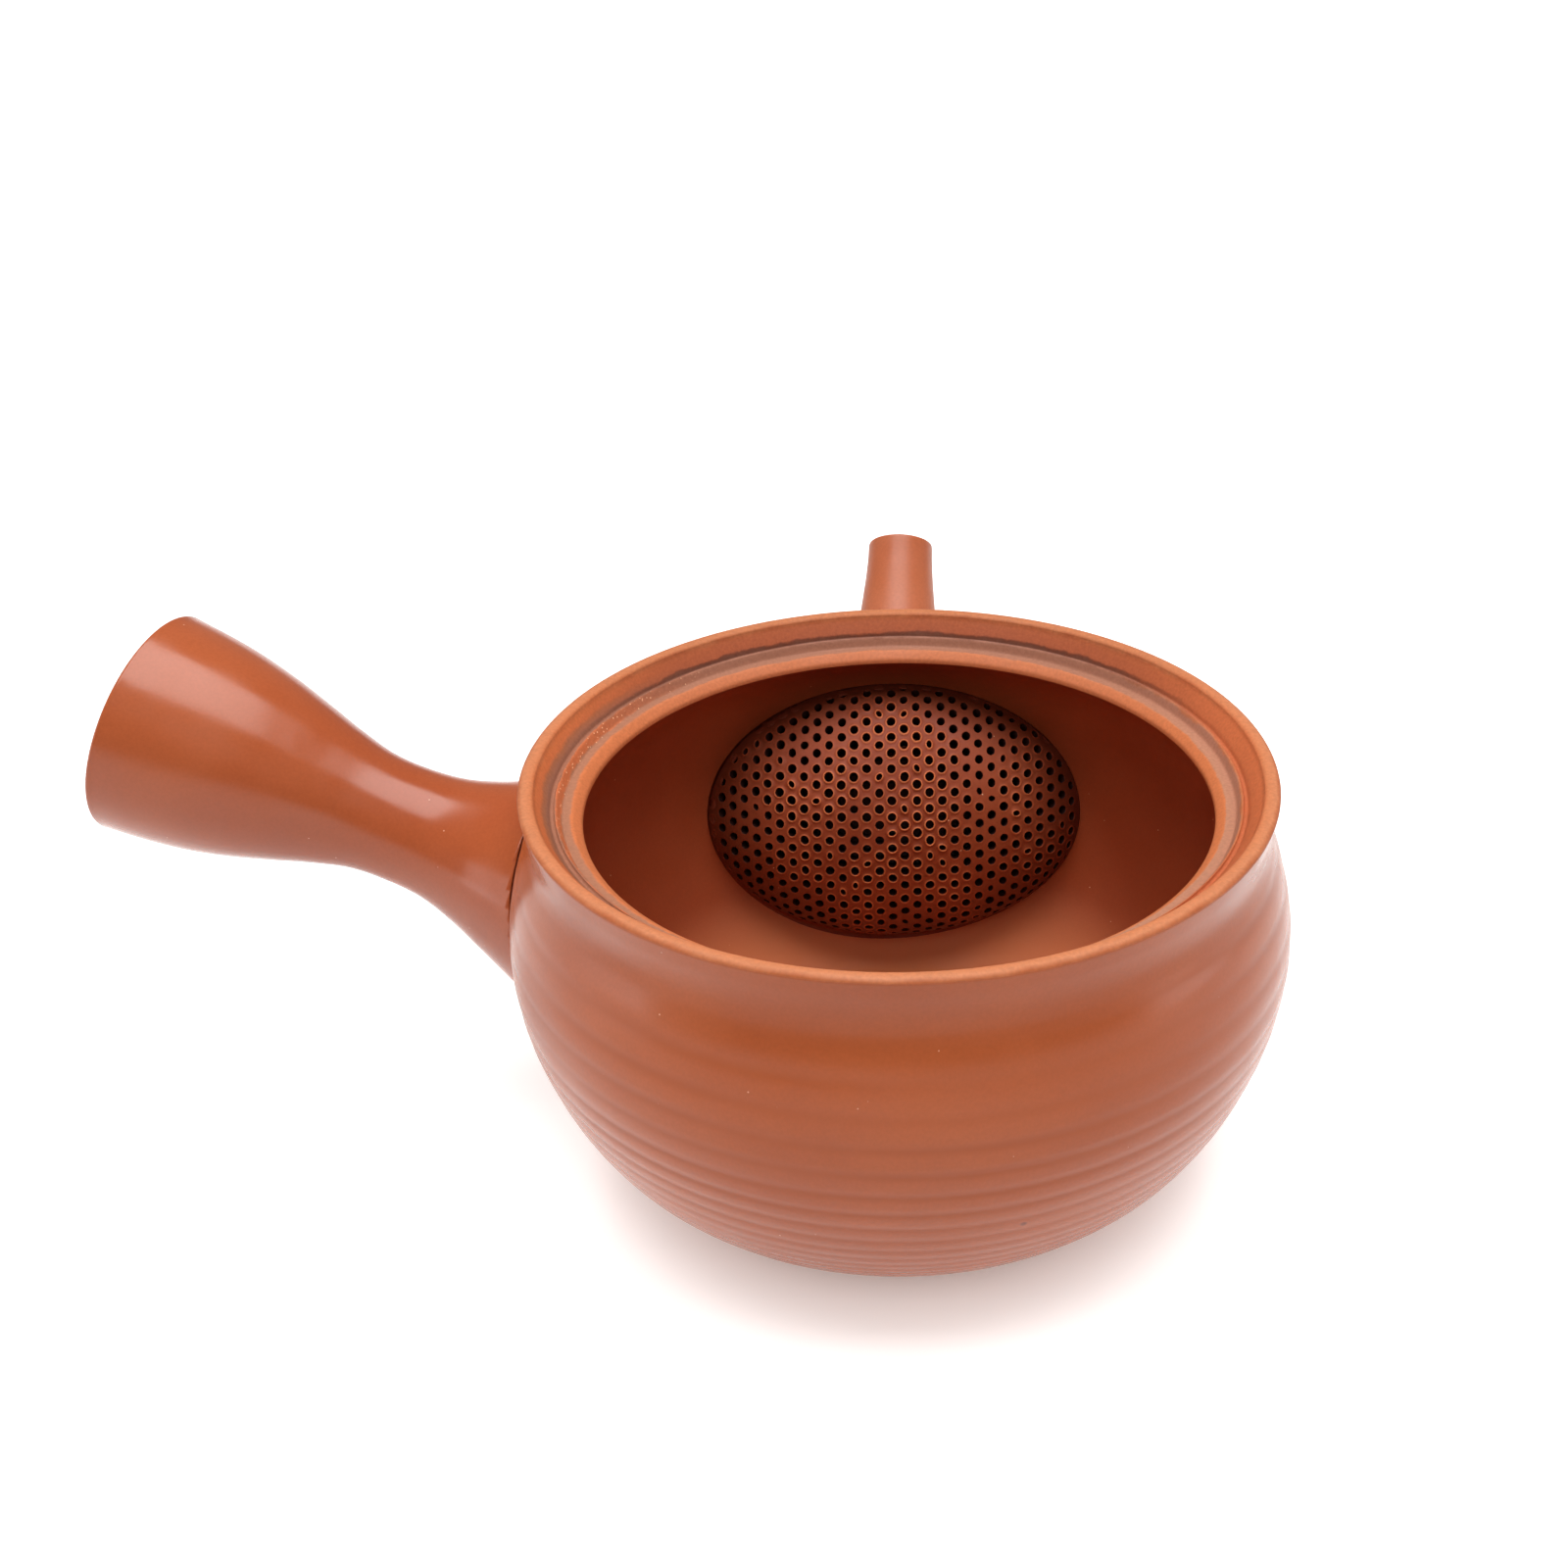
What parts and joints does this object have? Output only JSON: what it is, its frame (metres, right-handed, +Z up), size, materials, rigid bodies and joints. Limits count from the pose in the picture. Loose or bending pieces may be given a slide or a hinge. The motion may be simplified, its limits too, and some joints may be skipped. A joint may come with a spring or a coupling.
{
  "type": "side-handled teapot",
  "caption": "Round open teapot of red clay with a hollow side handle, a straight upright spout and a pierced dome strainer inside.",
  "frame": {"origin": "middle of the flat base, on the surface that the teapot stands on", "axes": "+Z up, +Y from the middle of the bowl towards the spout, -X towards the handle (the handle leans 10 degrees towards the spout)"},
  "size_m": [0.1668, 0.1308, 0.0725],
  "materials": {
    "burnished_body_clay": "unglazed, burnished, satin",
    "polished_handle_clay": "unglazed, polished, soft shine",
    "polished_spout_clay": "unglazed, polished, satin",
    "pierced_strainer_clay": "unglazed, damp-smoothed, satin",
    "dried_slip": "unglazed, matte"
  },
  "bodies": {
    "root": {"body": "burnished_body_clay", "handle": "polished_handle_clay", "spout": "polished_spout_clay", "strainer": "pierced_strainer_clay", "handle_slip_joint": "dried_slip", "spout_slip_joint": "dried_slip", "strainer_slip_joint": "dried_slip"}
  },
  "joints": []
}
